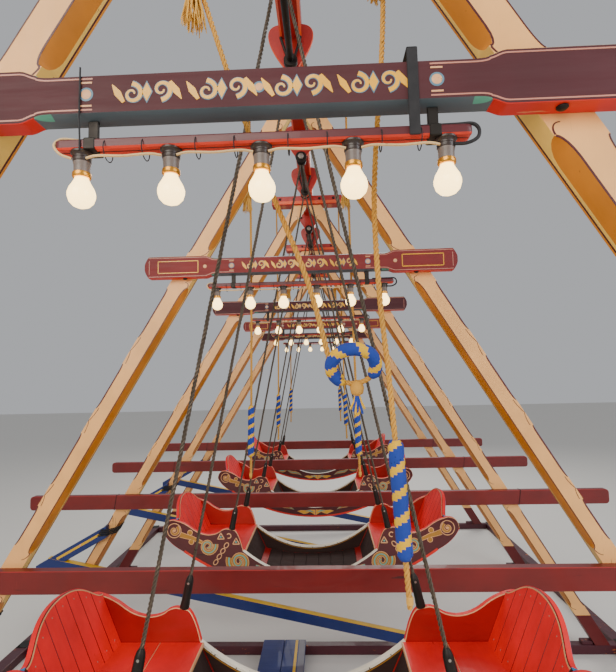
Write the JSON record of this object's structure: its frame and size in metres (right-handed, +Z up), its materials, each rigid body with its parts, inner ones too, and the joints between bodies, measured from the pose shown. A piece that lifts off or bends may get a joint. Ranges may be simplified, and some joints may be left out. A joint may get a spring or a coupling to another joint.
{
  "type": "row of fairground swing boats",
  "caption": "Timber A-frames under a ridge beam carry a row of hand-roped swing boats on iron rods, with boards, lamp bars, rails and a ground frame.",
  "frame": {"origin": "centre of the middle ground sill's underside, at ground level", "axes": "+X across the row, along which the boats swing, +Y along the row, +Z up"},
  "size_m": [5.35, 6.5958, 4.2526],
  "materials": {
    "frame_cream": "gloss paint over timber, lined in maroon",
    "board_maroon": "gloss paint over timber, bare ornament in gold",
    "rail_red": "gloss paint over timber",
    "sill_maroon": "worn paint over timber",
    "brake_blue": "gloss paint over timber, edged in yellow",
    "lamp_red": "gloss paint over timber with glass lamps",
    "boat_red": "gloss paint over timber with painted scrollwork",
    "rod_iron": "dark wrought iron, worn",
    "rope_hemp": "laid hemp rope with a woollen grip"
  },
  "bodies": {
    "frame": {"frame_1_leg_left": "frame_cream", "frame_1_leg_right": "frame_cream", "head_bar_1": "rail_red", "sign_board_1": "board_maroon", "lamp_bar_1": "lamp_red", "cross_rail_1": "rail_red", "ground_sill_1": "sill_maroon", "frame_2_leg_left": "frame_cream", "frame_2_leg_right": "frame_cream", "head_bar_2": "rail_red", "sign_board_2": "board_maroon", "lamp_bar_2": "lamp_red", "cross_rail_2": "rail_red", "ground_sill_2": "sill_maroon", "frame_3_leg_left": "frame_cream", "frame_3_leg_right": "frame_cream", "head_bar_3": "rail_red", "sign_board_3": "board_maroon", "lamp_bar_3": "lamp_red", "cross_rail_3": "rail_red", "ground_sill_3": "sill_maroon", "frame_4_leg_left": "frame_cream", "frame_4_leg_right": "frame_cream", "head_bar_4": "rail_red", "sign_board_4": "board_maroon", "lamp_bar_4": "lamp_red", "cross_rail_4": "rail_red", "ground_sill_4": "sill_maroon", "frame_5_leg_left": "frame_cream", "frame_5_leg_right": "frame_cream", "head_bar_5": "rail_red", "sign_board_5": "board_maroon", "lamp_bar_5": "lamp_red", "cross_rail_5": "rail_red", "ground_sill_5": "sill_maroon", "brake_lever_1": "brake_blue", "brake_lever_2": "brake_blue", "brake_lever_3": "brake_blue", "brake_lever_4": "brake_blue", "side_sill_left": "sill_maroon", "side_sill_right": "sill_maroon", "brake_plank": "brake_blue", "ridge_beam": "rail_red", "rope_1_left": "rope_hemp", "rope_1_right": "rope_hemp", "rope_2_left": "rope_hemp", "rope_2_right": "rope_hemp", "rope_3_left": "rope_hemp", "rope_3_right": "rope_hemp", "rope_4_left": "rope_hemp", "rope_4_right": "rope_hemp"},
    "boat_1": {"boat_1_hull": "boat_red", "boat_1_rods": "rod_iron"},
    "boat_2": {"boat_2_hull": "boat_red", "boat_2_rods": "rod_iron"},
    "boat_3": {"boat_3_hull": "boat_red", "boat_3_rods": "rod_iron"},
    "boat_4": {"boat_4_hull": "boat_red", "boat_4_rods": "rod_iron"}
  },
  "joints": [
    {"name": "boat_1_swing", "type": "hinge", "parent": "frame", "child": "boat_1", "pos_m": [0, -2.4, 3.95], "axis": [0, 1, 0], "range_deg": [-45, 45]},
    {"name": "boat_2_swing", "type": "hinge", "parent": "frame", "child": "boat_2", "pos_m": [0, -0.8, 3.95], "axis": [0, 1, 0], "range_deg": [-45, 45]},
    {"name": "boat_3_swing", "type": "hinge", "parent": "frame", "child": "boat_3", "pos_m": [0, 0.8, 3.95], "axis": [0, 1, 0], "range_deg": [-45, 45]},
    {"name": "boat_4_swing", "type": "hinge", "parent": "frame", "child": "boat_4", "pos_m": [0, 2.4, 3.95], "axis": [0, 1, 0], "range_deg": [-45, 45]}
  ]
}
